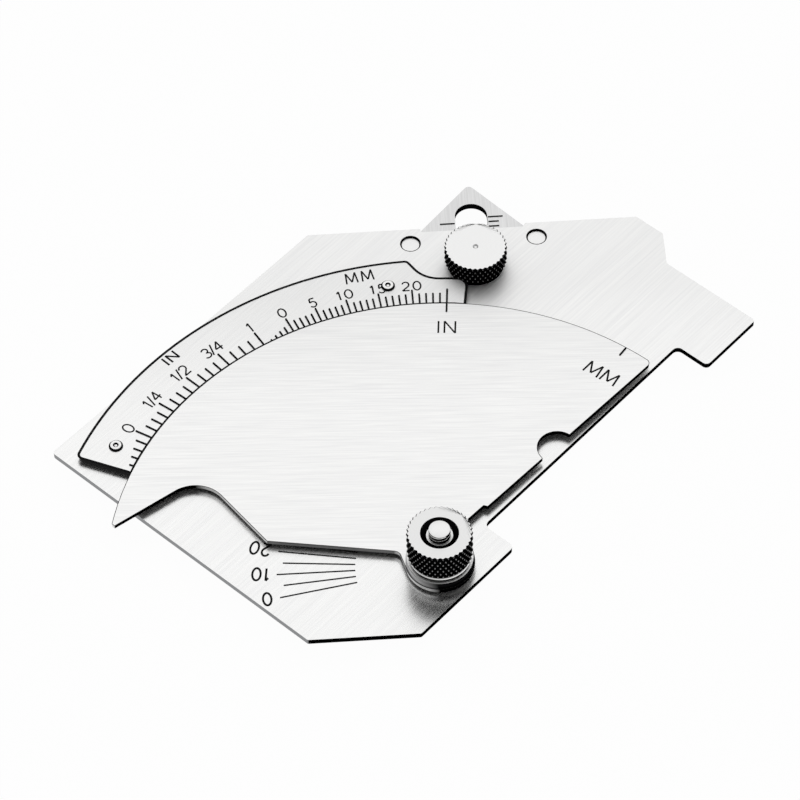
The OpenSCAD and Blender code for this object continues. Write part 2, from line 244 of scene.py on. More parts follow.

# %% [markdown]
# ## Sheet steel
#
# The plate, the slide, the arc plate and the cam are stamped from stainless sheet. The
# faces were drawn over an abrasive belt, which leaves fine streaks one way. The cut walls
# are painted black as painted shade, and the walls that look to the left, on the part left
# of the pivot, take their own colour as a painted reflection. Hands and work have worn the
# faces smooth round the feet and the hook, so that they mirror the walls that stand on
# them; towards the throat they are still rough.
#
# The streaks could be modelled, or painted in an image. A noise that is long one way and
# narrow across needs neither, and follows a part of any shape. The direction that a
# surface looks in tells a face from a wall, and its place sets how worn it is.

# %% Walls of the sheet
# Painted shade on the cut walls, and a lighter painted reflection on the walls that look left
WALL_SHADE, LEFT_WALL_SHEEN = "#0E0E0F", "#808183"
# Specular tint of the walls, painted shade: it darkens what a black wall still mirrors at a shallow angle
SHADED_RIM_TINT = "#404040"
# How far a surface looks along an axis where its mask starts, and where it is full
FACE_TILT, LEFT_TILT = (0.5, 0.8), (-0.75, -0.92)


def ground_ends(tree, normal, place):
    """1 on walls that look to the left, on the part of the gauge left of the pivot, which get the painted
    reflection.
    """
    start, full = LEFT_TILT
    facing = add(tree, "MapRange", {"Value": normal.outputs["X"], "From Min": start, "From Max": full})
    left = add(tree, "Math", {0: place.outputs["X"], 1: PIVOT.x}, operation="LESS_THAN")
    ends = add(tree, "Math", {0: facing.outputs[0], 1: left.outputs[0]}, operation="MULTIPLY")
    return ends.outputs[0]


# The walls carry painted shade, and the ends that look left a painted reflection
print("cut walls", WALL_SHADE, "ground ends", LEFT_WALL_SHEEN)

# %% Gloss of the sheet
# Wiping leaves clouds about as wide as a finger.
CLOUD_MM = 50 / 3
STREAK_ROUGH, CLOUD_ROUGH = 0.10, 0.06
# On u + v from the pivot: where the face starts to be less worn, and where it is fresh
FRESH_START, FRESH_FULL = 40 * MM, 75 * MM
FRESH_ROUGH = 0.22


def sheet_gloss(tree, at, place, streaks, rough):
    """Roughness from the streaks and slow clouds, higher where the face is little worn."""
    slow = {"Scale": 1 / (CLOUD_MM * MM), "Detail": 2.0}
    cloud = add(tree, "TexNoise", {"Vector": at.outputs["Object"], **slow}).outputs["Fac"]
    least = rough - (STREAK_ROUGH + CLOUD_ROUGH) / 2
    grain = add(tree, "Math", {0: streaks, 1: STREAK_ROUGH, 2: least}, operation="MULTIPLY_ADD")
    clouded = {0: cloud, 1: CLOUD_ROUGH, 2: grain.outputs[0]}
    grain = add(tree, "Math", clouded, operation="MULTIPLY_ADD")
    reach = add(tree, "Math", {0: place.outputs["X"], 1: place.outputs["Y"]}, operation="ADD")
    start = PIVOT.x + PIVOT.y
    span = {"From Min": start + FRESH_START, "From Max": start + FRESH_FULL, "To Max": FRESH_ROUGH}
    fresh = add(tree, "MapRange", {"Value": reach.outputs[0], **span})
    return add(tree, "Math", {0: grain.outputs[0], 1: fresh.outputs[0]}, operation="ADD").outputs[0]


print("face grows rough by", FRESH_ROUGH, "towards the throat")

# %% Brushed sheet
# The belt's own scratches are finer than these streaks, which are as wide as they need to
# be to show. On a wall a streak is STREAK_UP tall.
STREAK_UP = 2 * MM
BUMP_DEPTH = 0.05 * MM


def sheet_steel(name, bright, dull, brush_degrees, streak_mm, rough, end=LEFT_WALL_SHEEN):
    """Brushed faces, painted shade on the cut walls, and end as the painted reflection on walls that look
    left. A streak is (length, width) in mm.
    """
    made, tree = material(name)
    at = add(tree, "TexCoord")
    place = add(tree, "SeparateXYZ", {0: at.outputs["Object"]})
    normal = add(tree, "SeparateXYZ", {0: at.outputs["Normal"]})
    turned = {"Vector": at.outputs["Object"], "Rotation": (0, 0, math.radians(brush_degrees))}
    size = {"Scale": (streak_mm[0] * MM, streak_mm[1] * MM, STREAK_UP)}
    drawn = add(tree, "Mapping", {**turned, **size}, vector_type="TEXTURE")
    noise = {"Scale": 1.0, "Detail": 4.0, "Roughness": 0.6}
    streaks = add(tree, "TexNoise", {"Vector": drawn.outputs[0], **noise}).outputs["Fac"]
    face = add(tree, "MapRange", {"Value": streaks, "From Min": 0.3, "From Max": 0.7})
    tone = add(tree, "Mix", {0: face.outputs[0], 6: linear(dull), 7: linear(bright)}, data_type="RGBA")
    upright = add(tree, "Math", {0: normal.outputs["Z"]}, operation="ABSOLUTE")
    start, full = FACE_TILT
    flat = add(tree, "MapRange", {"Value": upright.outputs[0], "From Min": start, "From Max": full})
    # Walls: painted shade, and end as a painted reflection where they look left; the tint darkens what
    # shaded walls mirror
    left_sheen = ground_ends(tree, normal, place)
    wall = add(tree, "Mix", {0: left_sheen, 6: linear(WALL_SHADE), 7: linear(end)}, data_type="RGBA")
    colour = add(tree, "Mix", {0: flat.outputs[0], 6: wall.outputs[2], 7: tone.outputs[2]}, data_type="RGBA")
    unshaded = add(tree, "Math", {0: flat.outputs[0], 1: left_sheen}, operation="MAXIMUM")
    rim = add(tree, "Mix", {0: unshaded.outputs[0], 6: linear(SHADED_RIM_TINT), 7: linear(WHITE)}, data_type="RGBA")
    bump = add(tree, "Bump", {"Height": streaks, "Strength": 0.12, "Distance": BUMP_DEPTH})
    shine = {"Metallic": 1.0, "Roughness": sheet_gloss(tree, at, place, streaks, rough)}
    look = {"Base Color": colour.outputs[2], "Specular Tint": rim.outputs[2], "Normal": bump.outputs[0]}
    steel = add(tree, "BsdfPrincipled", {**look, **shine})
    add(tree, "OutputMaterial", {"Surface": steel.outputs[0]})
    return made


# Long streaks along the feet: the plate looks drawn, and cool.
plate_steel = sheet_steel("brushed_stainless_plate", "#F4F4F3", "#E9E9E9", 0, (14, 0.30), 0.27)
# The slide is a shade greyer, and drawn along its travel.
slide_steel = sheet_steel("brushed_stainless_slide", "#E6E6E6", "#D4D4D4", 45, (10, 0.30), 0.26)
# The arc plate is finer, so that the scale reads on it, and its end gets the painted shade of its sides.
arc_steel = sheet_steel("satin_stainless_scale", "#F4F4F3", "#E8E8E8", 0, (9, 0.24), 0.34, "#161617")
# The cam is drawn crosswise, level in the picture, and its left end gets a light painted reflection.
cam_steel = sheet_steel("satin_stainless_cam", "#F4F4F3", "#E6E6E6", -48, (10, 0.28), 0.32, "#DADADA")
print("sheet steels:", plate_steel.name, slide_steel.name, arc_steel.name, cam_steel.name)

# %% [markdown]
# ## Turned steel and the knurled nuts
#
# Studs, pins, rivets and washers come off a lathe, which leaves fine rings on their ends.
# Their sides are painted dark as painted shade, and the washers get a painted highlight on
# one flank. A nut is turned too, and then its rim is rolled between two wheels that press
# the diamonds into it. The grooves are painted black as painted shade, and the points
# lighter as painted highlights. The diamonds are in the nut's own shape, so the finish only
# needs the distance from the axis to tell a point from a groove.

# %% Sides of turned parts
# Painted shade on the sides and in the grooves; painted highlights on a washer's flank and on the knurl's
# points
SIDE_SHADE, SHEEN_GREY = "#161617", "#D8D8D8"
GROOVE_SHADE, POINT_GLINT, DIMPLE_GREY = "#0A0A0B", "#B4B4B4", "#CCCCCC"
# The way the flank with the painted highlight looks, and how far toward it a side must look to start and be
# bright
FLANK, FLANK_TILT = (-0.67, 0.74, 0.0), (0.05, 0.6)
# In mm: how far inside the knurl's radius the painted highlight of a point starts and is full, and the
# dimple's edge
GLINT_INSIDE, DIMPLE_EDGE = (0.10, 0.01), (0.9, 0.6)


def wiped_side(tree, at):
    """Painted shade on the sides, with a painted highlight where they look toward the flank."""
    across = add(tree, "VectorMath", {0: at.outputs["Normal"], 1: FLANK}, operation="DOT_PRODUCT")
    start, full = FLANK_TILT
    flank = add(tree, "MapRange", {"Value": across.outputs["Value"], "From Min": start, "From Max": full})
    shades = {6: linear(SIDE_SHADE), 7: linear(SHEEN_GREY)}
    return add(tree, "Mix", {0: flank.outputs[0], **shades}, data_type="RGBA").outputs[2]


def knurled_side(tree, own, knurl_mm):
    """Painted shade in the grooves, painted highlights on the points near that radius, and the bright dimple
    on the axis.
    """
    split = add(tree, "SeparateXYZ", {0: own.outputs[0]})
    level = add(tree, "CombineXYZ", {0: split.outputs["X"], 1: split.outputs["Y"]})
    out = add(tree, "VectorMath", {0: level.outputs[0]}, operation="LENGTH").outputs["Value"]
    glint_band = {"From Min": knurl_mm - GLINT_INSIDE[0], "From Max": knurl_mm - GLINT_INSIDE[1]}
    point = add(tree, "MapRange", {"Value": out, **glint_band})
    shades = {6: linear(GROOVE_SHADE), 7: linear(POINT_GLINT)}
    rim = add(tree, "Mix", {0: point.outputs[0], **shades}, data_type="RGBA")
    start, full = DIMPLE_EDGE
    core = add(tree, "MapRange", {"Value": out, "From Min": start, "From Max": full})
    shades = {6: rim.outputs[2], 7: linear(DIMPLE_GREY)}
    return add(tree, "Mix", {0: core.outputs[0], **shades}, data_type="RGBA").outputs[2]


print("grooves", GROOVE_SHADE, "points", POINT_GLINT)

# %% Turned parts
# A lathe's rings are finer than this. They are as far apart as they need to be to show.
RING_MM = 0.19635
# A wave texture of scale 1 has its rings this far apart
WAVE_UNIT = math.tau / 20
# How far an end looks up where its mask starts, and where it is full
END_TILT = (0.9, 0.97)
# Roughness of the turned ends, and what the rings add to it
TURNED_ROUGH, RING_ROUGH = 0.34, 0.06


def turned_steel(name, axis, bright, dull, knurl_mm=None, flank_sheen=False):
    """Rings about the axis on the ends; knurl_mm is the radius where the points get painted highlights."""
    made, tree = material(name)
    at = add(tree, "TexCoord")
    centred = {"Vector": at.outputs["Object"], "Location": tuple(axis), "Scale": (MM, MM, MM)}
    own = add(tree, "Mapping", centred, vector_type="TEXTURE")
    cut = {"Scale": WAVE_UNIT / RING_MM, "Distortion": 1.5, "Detail": 3.0}
    wave = {"wave_type": "RINGS", "rings_direction": "Z"}
    rings = add(tree, "TexWave", {"Vector": own.outputs[0], **cut}, **wave).outputs["Fac"]
    tone = add(tree, "Mix", {0: rings, 6: linear(dull), 7: linear(bright)}, data_type="RGBA")
    normal = add(tree, "SeparateXYZ", {0: at.outputs["Normal"]})
    upright = add(tree, "Math", {0: normal.outputs["Z"]}, operation="ABSOLUTE")
    start, full = END_TILT
    flat = add(tree, "MapRange", {"Value": upright.outputs[0], "From Min": start, "From Max": full})
    # Sides carry painted shade, a washer a painted highlight on one flank, a knurl painted shade and
    # highlights
    wall = linear(SIDE_SHADE)
    if flank_sheen:
        wall = wiped_side(tree, at)
    if knurl_mm:
        wall = knurled_side(tree, own, knurl_mm)
    colour = add(tree, "Mix", {0: flat.outputs[0], 6: wall, 7: tone.outputs[2]}, data_type="RGBA")
    # The tint on the sides is painted shade on what they mirror
    rim = add(tree, "Mix", {0: flat.outputs[0], 6: linear(SHADED_RIM_TINT), 7: linear(WHITE)}, data_type="RGBA")
    grain = add(tree, "Math", {0: rings, 1: RING_ROUGH, 2: TURNED_ROUGH}, operation="MULTIPLY_ADD")
    bump = add(tree, "Bump", {"Height": rings, "Strength": 0.02, "Distance": BUMP_DEPTH})
    look = {"Base Color": colour.outputs[2], "Specular Tint": rim.outputs[2], "Normal": bump.outputs[0]}
    steel = add(tree, "BsdfPrincipled", {**look, "Metallic": 1.0, "Roughness": grain.outputs[0]})
    add(tree, "OutputMaterial", {"Surface": steel.outputs[0]})
    return made


print("rings", RING_MM, "mm apart")

# %% A finish for each part
# The nuts are nickel plated: an even white on top; the knurl has painted shade in its grooves and painted
# highlights on its points.
KNURL = 5.0
finish = {
    "base_plate": plate_steel,
    "slide": slide_steel,
    "arc_scale_plate": arc_steel,
    "cam": cam_steel,
    "pivot_nut": turned_steel("turned_nickel_pivot_nut", PIVOT, "#E8E8E7", "#DEDEDE", KNURL),
    "slide_nut": turned_steel("turned_nickel_slide_nut", SLIDE_STUD, "#F0F0EF", "#E6E6E6", KNURL),
}
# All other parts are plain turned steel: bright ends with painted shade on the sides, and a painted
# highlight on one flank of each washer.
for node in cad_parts:
    if node not in finish:
        name, flank_sheen = "turned_steel_" + node, "washer" in node
        finish[node] = turned_steel(name, middle(node), "#F2F2F1", "#E6E6E6", flank_sheen=flank_sheen)
for node, steel in finish.items():
    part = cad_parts[node]
    part.data.materials.clear()
    part.data.materials.append(steel)
print("finished parts:", len(finish))

# %% [markdown]
# ## Polished steel
#
# The bead on the nut's collar and the crests of the stud's thread were polished with a
# cloth. They mirror their surroundings more sharply than the turned faces, with faint
# lines round the axis, which are a noise that is wide and very thin.

# %% Polished bead
# Length, width and height of a line
POLISH_LINE = (1.0 * MM, 1.0 * MM, 0.05 * MM)

polished, tree = material("polished_nickel_bead")
at = add(tree, "TexCoord")
thin = {"Vector": at.outputs["Object"], "Scale": POLISH_LINE}
own = add(tree, "Mapping", thin, vector_type="TEXTURE")
lines = add(tree, "TexNoise", {"Vector": own.outputs[0], "Scale": 1.0, "Detail": 2.0}).outputs["Fac"]
tone = add(tree, "Mix", {0: lines, 6: linear("#E4E4E4"), 7: linear("#FAFAF9")}, data_type="RGBA")
gloss = add(tree, "Math", {0: lines, 1: 0.10, 2: 0.18}, operation="MULTIPLY_ADD")
look = {"Base Color": tone.outputs[2], "Metallic": 1.0, "Roughness": gloss.outputs[0]}
steel = add(tree, "BsdfPrincipled", look)
add(tree, "OutputMaterial", {"Surface": steel.outputs[0]})
print("polish:", polished.name)

# %% [markdown]
# ## Black filling
#
# The marks are engraved and filled with black enamel, which dries with a slight
# unevenness, a little greyer where it is thin.

# %% Enamel
# Thick and thin places lie about a millimetre apart.
UNEVEN_MM = 10 / 9

# The same black also draws the painted shade lines along the cam's edge and round the guide pins.
black_marks_and_shade, tree = material("black_enamel_and_painted_shade")
at = add(tree, "TexCoord")
uneven = {"Vector": at.outputs["Object"], "Scale": 1 / (UNEVEN_MM * MM), "Detail": 2.0}
thin = add(tree, "TexNoise", uneven).outputs["Fac"]
tone = add(tree, "Mix", {0: thin, 6: linear("#020202"), 7: linear("#141415")}, data_type="RGBA")
gloss = add(tree, "Math", {0: thin, 1: 0.3, 2: 0.4}, operation="MULTIPLY_ADD")
look = {"Base Color": tone.outputs[2], "Roughness": gloss.outputs[0], "Specular IOR Level": 0.08}
paint = add(tree, "BsdfPrincipled", look)
add(tree, "OutputMaterial", {"Surface": paint.outputs[0]})
print("enamel:", black_marks_and_shade.name)

# %% [markdown]
# ## A pen for lines
#
# A graver moves along a path and leaves a line of one width. The pen here does the
# same: a vertex is extruded from point to point, the path becomes a curve with a round
# section, and the round is pressed flat, so that the filling stands a hair above the
# face and never flickers with it.

# %% Pen
FLAT = 0.16


def pick(thing):
    bpy.ops.object.select_all(action="DESELECT")
    thing.select_set(True)
    bpy.context.view_layer.objects.active = thing


def inked(path, width, flat=FLAT):
    """Turns an object of loose edges into a line of that width, in metres."""
    pick(path)
    bpy.ops.object.convert(target="CURVE")
    path = bpy.context.object
    path.data.dimensions = "3D"
    path.data.fill_mode = "FULL"
    path.data.bevel_depth = width / 2
    path.data.bevel_resolution = 2
    path.data.use_fill_caps = True
    path.data.twist_mode = "Z_UP"
    bpy.ops.object.convert(target="MESH")
    path = bpy.context.object
    if flat != 1:
        heights = [vertex.co.z for vertex in path.data.vertices]
        level = (min(heights) + max(heights)) / 2
        bpy.ops.object.mode_set(mode="EDIT")
        bpy.ops.mesh.select_all(action="SELECT")
        bpy.ops.transform.resize(value=(1, 1, flat), center_override=(0, 0, level))
        bpy.ops.object.mode_set(mode="OBJECT")
    return path


def pen(points, width, flat=FLAT):
    """A line through the points, all in metres. A path that ends at its start is closed."""
    points = [Vector(p).to_3d() for p in points]
    bpy.ops.object.select_all(action="DESELECT")
    bpy.ops.mesh.primitive_plane_add(size=width)
    path = bpy.context.object
    bpy.ops.object.mode_set(mode="EDIT")
    bpy.ops.mesh.merge(type="CENTER")
    bpy.ops.transform.translate(value=points[0])
    for here, there in zip(points, points[1:]):
        bpy.ops.mesh.extrude_region_move(TRANSFORM_OT_translate={"value": there - here})
    bpy.ops.mesh.select_all(action="SELECT")
    bpy.ops.mesh.remove_doubles(threshold=1e-7)
    bpy.ops.object.mode_set(mode="OBJECT")
    return inked(path, width, flat)


print("a line stands", FLAT / 2, "of its width above the face")


# %% Copies and whole pieces
def copy_of(thing):
    pick(thing)
    bpy.ops.object.duplicate()
    return bpy.context.object


def one_piece(name, parts, body, finish):
    """Joins the parts in place, names the piece and lets it ride on its body."""
    bpy.ops.object.select_all(action="DESELECT")
    for part in parts:
        part.select_set(True)
    bpy.context.view_layer.objects.active = parts[0]
    bpy.ops.object.transform_apply(location=True, rotation=True, scale=True)
    if len(parts) > 1:
        bpy.ops.object.join()
    piece = bpy.context.object
    piece.name = name
    piece.data.materials.clear()
    piece.data.materials.append(finish)
    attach(piece, body)
    print(name, "on", body, "with", len(piece.data.polygons), "faces")
    return piece


print("copies keep their own mesh")

# %% [markdown]
# ## Straight marks
#
# A graduation is one straight cut with rounded ends. It could be drawn with the pen, but
# there are many, so a small box with bevelled corners is lighter. Each length is modelled
# once, then copied to its place and turned.

# %% Ticks
# Thickness in mm, and the share of the width that rounds each corner
TICK_THICK, TICK_ROUND = 0.04, 0.4


def tick(length, width):
    """One mark from the origin along x, with rounded ends, in mm."""
    bpy.ops.object.select_all(action="DESELECT")
    bpy.ops.mesh.primitive_cube_add(size=1)
    mark = bpy.context.object
    size = (length * MM, width * MM, TICK_THICK * MM)
    bpy.ops.object.mode_set(mode="EDIT")
    bpy.ops.transform.resize(value=size, center_override=(0, 0, 0))
    bpy.ops.transform.translate(value=(length / 2 * MM, 0, 0))
    bpy.ops.object.mode_set(mode="OBJECT")
    for edge in mark.data.edges:
        a, b = (mark.data.vertices[i].co for i in edge.vertices)
        edge.select = abs(a.z - b.z) > 1e-6
    bpy.ops.object.mode_set(mode="EDIT")
    bpy.ops.mesh.bevel(offset=width * TICK_ROUND * MM, segments=3)
    bpy.ops.object.mode_set(mode="OBJECT")
    return mark


def fan(marks, width, z):
    """Radial marks: each is (angle, inner r, outer r), one model for each length."""
    models, made = {}, []
    for angle, inner, outer in marks:
        length = round(outer - inner, 3)
        if length not in models:
            models[length] = tick(length, width)
        mark = copy_of(models[length])
        mark.location = ray(inner, angle, z)
        mark.rotation_euler.z = math.radians(angle)
        made.append(mark)
    for model in models.values():
        bpy.data.objects.remove(model)
    return made


print("a tick is", TICK_THICK, "mm thick")

# %% [markdown]
# ## Numerals
#
# The numbers are cut in single strokes, as an engraver does from a plain lettering guide.
# A font would need a file and has outlines, not strokes. So each sign is a few lines, one
# unit tall, and a new line starts at each sharp corner, which keeps the corner full. A
# sign is drawn once for each line width and copied wherever it is needed.


# %% Signs
def bow(x, y, rx, ry, start, end, steps=12):
    """Points on an ellipse between two angles."""
    turns = [math.radians(start + (end - start) * i / steps) for i in range(steps + 1)]
    return [(x + rx * math.cos(t), y + ry * math.sin(t)) for t in turns]


SIGNS = {
    "0": [bow(0.34, 0.5, 0.34, 0.5, 90, 450, 20)],
    "1": [[(0.1, 0.78), (0.3, 1)], [(0.3, 1), (0.3, 0)]],
    "2": [bow(0.31, 0.69, 0.30, 0.31, 165, -38) + [(0, 0)], [(0, 0), (0.64, 0)]],
    "3": [bow(0.29, 0.75, 0.27, 0.25, 150, -90), bow(0.29, 0.26, 0.31, 0.26, 80, -150)],
    "4": [[(0.48, 0), (0.48, 1)], [(0.48, 1), (0, 0.3)], [(0, 0.3), (0.68, 0.3)]],
    "5": [
        [(0.56, 1), (0.12, 1)],
        [(0.12, 1), (0.07, 0.55)],
        bow(0.29, 0.32, 0.31, 0.32, 135, -150),
    ],
    "6": [bow(0.66, 0.34, 0.64, 0.66, 112, 180), bow(0.33, 0.32, 0.31, 0.32, 180, 540, 18)],
    "/": [[(0, -0.05), (0.36, 1.05)]],
    "I": [[(0, 0), (0, 1)]],
    "M": [
        [(0, 0), (0.08, 1)],
        [(0.08, 1), (0.42, 0.12)],
        [(0.42, 0.12), (0.76, 1)],
        [(0.76, 1), (0.84, 0)],
    ],
    "N": [[(0, 0), (0, 1)], [(0, 1), (0.64, 0)], [(0.64, 0), (0.64, 1)]],
}
print("signs:", "".join(SIGNS))

# %% Writing
# The 1 takes a wider cell than its strokes fill.
CELL = {"1": 0.44}
models = {}


def sign(letter, stroke):
    """The model of one sign, 1 mm tall, drawn when it is first asked for."""
    if (letter, stroke) not in models:
        lines = [pen([(x * MM, y * MM) for x, y in line], stroke * MM) for line in SIGNS[letter]]
        pick(lines[0])
        for line in lines:
            line.select_set(True)
        if len(lines) > 1:
            bpy.ops.object.join()
        models[letter, stroke] = bpy.context.object
    return models[letter, stroke]


def write(text, place, reading, tall, stroke, narrow=1.0, gap=0.36):
    """Signs centred on a place, read toward that angle, tall and stroke in mm."""
    widths = [CELL.get(c) or max(x for line in SIGNS[c] for x, y in line) for c in text]
    total = sum(widths) + gap * (len(text) - 1)
    turn = math.radians(reading)
    along = Vector((math.cos(turn), math.sin(turn), 0))
    up = Vector((-along.y, along.x, 0))
    start, made = -total / 2, []
    for letter, width in zip(text, widths):
        cut = copy_of(sign(letter, stroke / tall))
        cut.location = place + (along * start * narrow - up * 0.5) * tall * MM
        cut.rotation_euler.z = turn
        cut.scale = (tall * narrow, tall, 1)
        made.append(cut)
        start += width + gap
    return made


print("wide cells:", CELL)

# %% [markdown]
# ## Scale on the arc plate
#
# The cam swings about its pivot, so equal steps of its toe are not equal angles: the
# marks spread as the lever leaves the level. Each scale is an arcsine, with its zero,
# its lever and its offset; past each zero a few marks more read an undercut.

# %% Arc scale
SIXTEENTH = 25.4 / 16
# zero angle, lever mm, offset mm, step mm, marks, marks per numeral
METRIC = (68.52, 52.54, 0.25, 1.0, 25, 5)
INCH = (103.04, 53.45, -0.67, SIXTEENTH, 16, 4)
# outer radius of the first mark past zero, and how much shorter each next one is
METRIC_PAST = (51.67, 0.365)
INCH_PAST = (52.2, 0.4)
PAST_MARKS = 4
# Width of a line, and the radii of its root and of the ends of short and long marks
LINE = 0.28
ROOT, MINOR, MAJOR = 50.3, 52.3, 53.15


def swing(scale, n):
    zero, lever, offset, step = scale[:4]
    bend = math.asin((n * step - offset) / lever) - math.asin(-offset / lever)
    return zero - math.degrees(bend)


marks = []
for scale, (first, shorter) in ((METRIC, METRIC_PAST), (INCH, INCH_PAST)):
    count, every = scale[4:]
    for n in range(count + 1):
        marks.append((swing(scale, n), ROOT, MINOR if n % every else MAJOR))
    for n in range(PAST_MARKS):
        marks.append((swing(scale, -n - 1), ROOT, first - shorter * n))
one_piece("arc_graduations", fan(marks, LINE, ARC_FACE), "frame", black_marks_and_shade)

# %% Arc numerals
STROKE = 0.27
# radius of the numerals' middles, how much it falls for each mm, and height
METRIC_R, METRIC_FALL, METRIC_TALL = 54.45, 0.025, 1.75
# radius, turn in degrees past the mark, and height
INCH_R, INCH_TURN, INCH_TALL = 54.4, 0.1, 1.9
# radius, angle and height of the two units
MM_UNIT = (57.2, 54.3, 2.15)
IN_UNIT = (57.7, 88.1, 1.78)

numbers = []
for n in range(0, METRIC[4], METRIC[5]):
    angle = swing(METRIC, n)
    place = ray(METRIC_R - METRIC_FALL * n, angle, ARC_FACE)
    numbers += write(str(n), place, angle - 90, METRIC_TALL, STROKE)
for n, text in enumerate(("0", "1/4", "1/2", "3/4", "1")):
    angle = swing(INCH, n * INCH[5])
    place = ray(INCH_R, angle + INCH_TURN, ARC_FACE)
    numbers += write(text, place, angle - 90, INCH_TALL, STROKE, gap=0.1)
for text, (r, angle, tall), narrow in (("MM", MM_UNIT, 1.0), ("IN", IN_UNIT, 1.24)):
    numbers += write(text, ray(r, angle, ARC_FACE), angle - 90, tall, STROKE, narrow)
one_piece("arc_numerals", numbers, "frame", black_marks_and_shade)

# %% [markdown]
# ## Marks on the cam
#
# Two short index lines at the cam's rim point at the two arcs, each with its unit.

# %% Cam marks
INDEX_LINE, INDEX_END = 0.28, 49.95
# angle and inner radius of the index lines
IN_INDEX, MM_INDEX = (40.15, 48.2), (5.9, 48.1)
# radius and angle of the units
IN_PLACE, MM_PLACE = (45.15, 40.0), (43.6, 6.25)
UNIT_TALL, UNIT_STROKE = 2.4, 0.26

indexes = [(angle, inner, INDEX_END) for angle, inner in (IN_INDEX, MM_INDEX)]
cam_lines = fan(indexes, INDEX_LINE, CAM_FACE)
for text, (r, angle), narrow, gap in (("IN", IN_PLACE, 1.1, 0.36), ("MM", MM_PLACE, 1.22, 0.2)):
    cam_lines += write(text, ray(r, angle, CAM_FACE), angle - 90, UNIT_TALL, UNIT_STROKE, narrow, gap)
one_piece("cam_marks", cam_lines, "cam", black_marks_and_shade)

# %% [markdown]
# ## Angle scale on the plate
#
# Rays about the pivot read the angle of a bevel against the cam's heel, every five
# degrees. The cam covers most of them at rest. Numbers are read outward along the ray.

# %% Angle scale
ZERO_RAY = 144.6
LAST_DEGREES, RAY_STEP, NUMBER_STEP = 60, 5, 10
RAY_LINE, RAY_START, RAY_LONG, RAY_SHORT = 0.19, 12.7, 24.5, 23.6
# radius of the number at zero, how much it grows for each degree, and the turn off the ray
NUMBER_R, NUMBER_GROWTH, NUMBER_TURN = 26.4, 0.043, 0.4
NUMBER_READING, NUMBER_TALL, NUMBER_STROKE = 6, 2.25, 0.40

rays, numbers = [], []
for degrees in range(0, LAST_DEGREES + 1, RAY_STEP):
    angle = ZERO_RAY - degrees
    numbered = degrees % NUMBER_STEP == 0
    rays.append((angle, RAY_START, RAY_LONG if numbered else RAY_SHORT))
    if numbered:
        place = ray(NUMBER_R + NUMBER_GROWTH * degrees, angle - NUMBER_TURN)
        reading = angle - NUMBER_READING
        numbers += write(str(degrees), place, reading, NUMBER_TALL, NUMBER_STROKE, 0.82, 0.3)
one_piece("angle_rays", fan(rays, RAY_LINE, PLATE_FACE), "frame", black_marks_and_shade)
one_piece("angle_numerals", numbers, "frame", black_marks_and_shade)

# %% [markdown]
# ## Scale on the slide
#
# The slide travels along the throat's diagonal and shows its depth beside its slot:
# millimetres on one side, sixteenths of an inch on the other.

# %% Places on the slide
THROAT = (72.4, 59.1)
DIAGONAL = 45.0


def on_slide(x, y):
    """A place on the slide: x outward along the diagonal from the throat, y across it."""
    c, s = math.cos(math.radians(DIAGONAL)), math.sin(math.radians(DIAGONAL))
    return spot(THROAT[0] + x * c - y * s, THROAT[1] + x * s + y * c, SLIDE_FACE)


print("slide runs at", DIAGONAL, "degrees")

# %% Slide scale
SHORT, LONG, SLIDE_LINE = 1.7, 2.4, 0.22
SLIDE_TALL, SLIDE_STROKE = 1.6, 0.2
# zero, step, marks, marks per long one, side of the slot, place of the numbers, numbers
METRIC_SIDE = (-43.75, 1.0, 21, 5, -1, -6.3, ("0", "5", "10", "15"))
INCH_SIDE = (-43.85, SIXTEENTH, 13, 4, 1, 6.5, ("0", "1/4", "1/2"))
# Where the marks start, in mm from the slot's middle
SLOT_EDGE = 2.7

short, long = tick(SHORT, SLIDE_LINE), tick(LONG, SLIDE_LINE)
slide_lines = []
for zero, step, count, every, side, across, texts in (METRIC_SIDE, INCH_SIDE):
    for n in range(count):
        mark = copy_of(short if n % every else long)
        mark.location = on_slide(zero + n * step, side * SLOT_EDGE)
        mark.rotation_euler.z = math.radians(DIAGONAL + side * 90)
        slide_lines.append(mark)
    for n, text in enumerate(texts):
        place = on_slide(zero + n * every * step, across)
        slide_lines += write(text, place, DIAGONAL - 90, SLIDE_TALL, SLIDE_STROKE)
for model in (short, long, *models.values()):
    bpy.data.objects.remove(model)
one_piece("slide_marks", slide_lines, "slide", black_marks_and_shade)

# %% [markdown]
# ## Edge lines
#
# The arc plate's top edge is outlined by a black line, and the cam's edge by a finer one,
# which is painted shade along that edge. The line follows the part's own outline: its top
# face is picked by its normal, and the border of that face becomes the path of the pen.
# Long sides are cut into short ones, and a short one with metal on both sides is dropped,
# because it is a seam inside the face.


# %% Border of a face
def choose_edges(path, wanted):
    """Selects the edges that the test takes, by their two ends, and no others."""
    points = path.data.vertices
    for point in points:
        point.select = False
    for edge in path.data.edges:
        a, b = (points[i] for i in edge.vertices)
        edge.select = wanted(a.co, b.co)
        if edge.select:
            a.select = b.select = True


